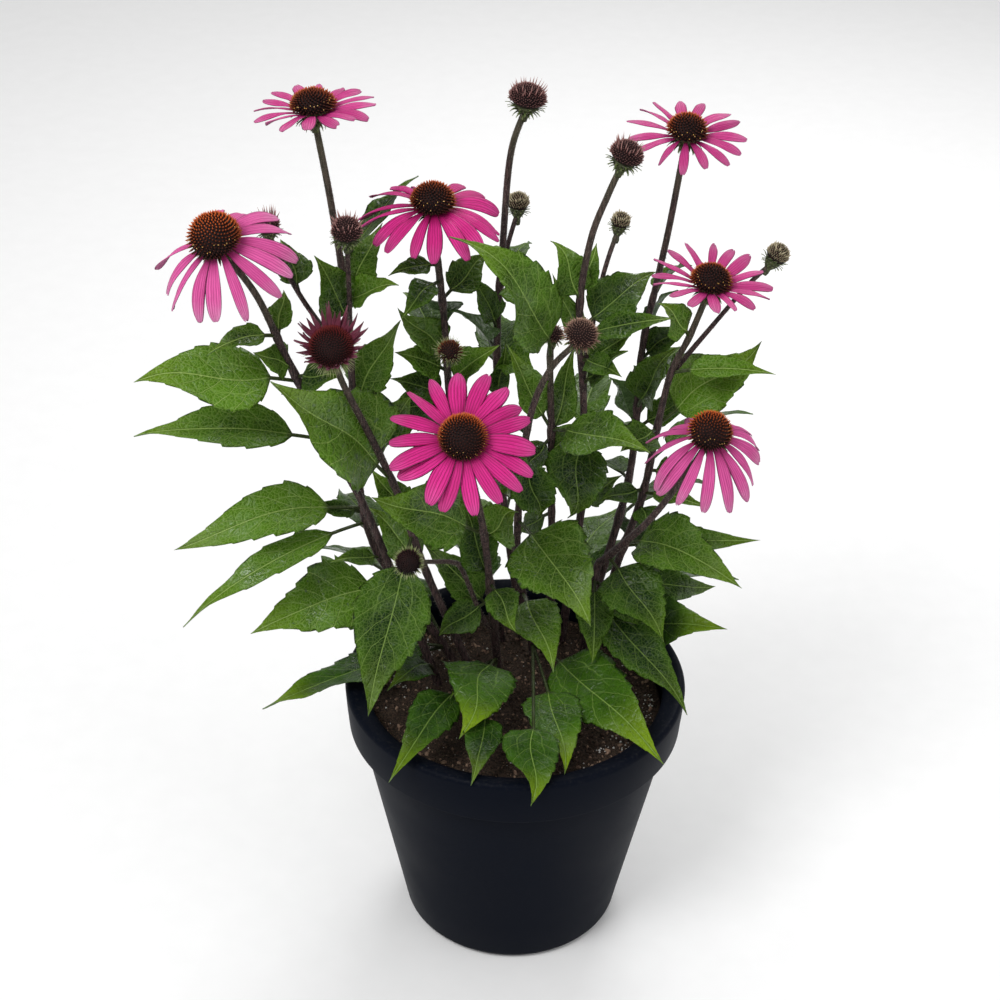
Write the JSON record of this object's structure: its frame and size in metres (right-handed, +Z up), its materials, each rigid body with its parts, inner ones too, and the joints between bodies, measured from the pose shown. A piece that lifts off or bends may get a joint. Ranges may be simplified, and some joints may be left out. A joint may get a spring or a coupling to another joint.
{
  "type": "potted purple coneflower plant",
  "caption": "Tall garden perennial in a round nursery pot: upright leafy stems that carry drooping magenta ray flowers with dark raised cones, and bristly buds.",
  "frame": {"origin": "centre of the pot's underside, on the floor", "axes": "+Z up along the pot's axis; the plant's front faces -Y and +X is to the viewer's right"},
  "size_m": [0.45, 0.336, 0.6733],
  "materials": {
    "pot": "near-black moulded plastic, satin, with faint scratches and dust",
    "soil": "damp peat and bark potting mix with white perlite grains",
    "foliage": "living leaf and stem: deep green, slightly glossy, paler veins, purple-brown hairy stems",
    "ray": "living petal: magenta-pink, matte, fine lengthwise ribs",
    "young_ray": "unopened petal: dull maroon-pink, matte",
    "cone": "dark brown disc florets with orange-rust tips",
    "bud": "dark maroon to green bristly bud, matte"
  },
  "bodies": {
    "root": {"pot": "pot", "soil": "soil", "leafy_stem_a": "foliage", "leafy_stem_b": "foliage", "leafy_stem_c": "foliage", "leafy_stem_d": "foliage", "leafy_stem_e": "foliage", "leafy_stem_g": "foliage", "leafy_stem_i": "foliage", "leafy_stem_j": "foliage", "leafy_stem_k": "foliage", "leafy_stem_l": "foliage", "leafy_stem_m": "foliage", "leafy_stem_n": "foliage", "rays_left_back": "ray", "cone_left_back": "cone", "rays_left_front": "ray", "cone_left_front": "cone", "rays_middle_back": "ray", "cone_middle_back": "cone", "rays_middle_front": "ray", "cone_middle_front": "cone", "rays_right_back": "ray", "cone_right_back": "cone", "rays_right_middle": "ray", "cone_right_middle": "cone", "rays_right_front": "ray", "cone_right_front": "cone", "rays_young": "young_ray", "cone_young": "cone", "bud_rising": "bud", "bud_left": "bud", "bud_inner": "bud", "bud_back_left": "bud", "bud_top": "bud", "bud_front": "bud", "bud_middle": "bud", "bud_middle_small": "bud", "bud_tall": "bud", "bud_back_right": "bud", "bud_right": "bud"}
  },
  "joints": []
}
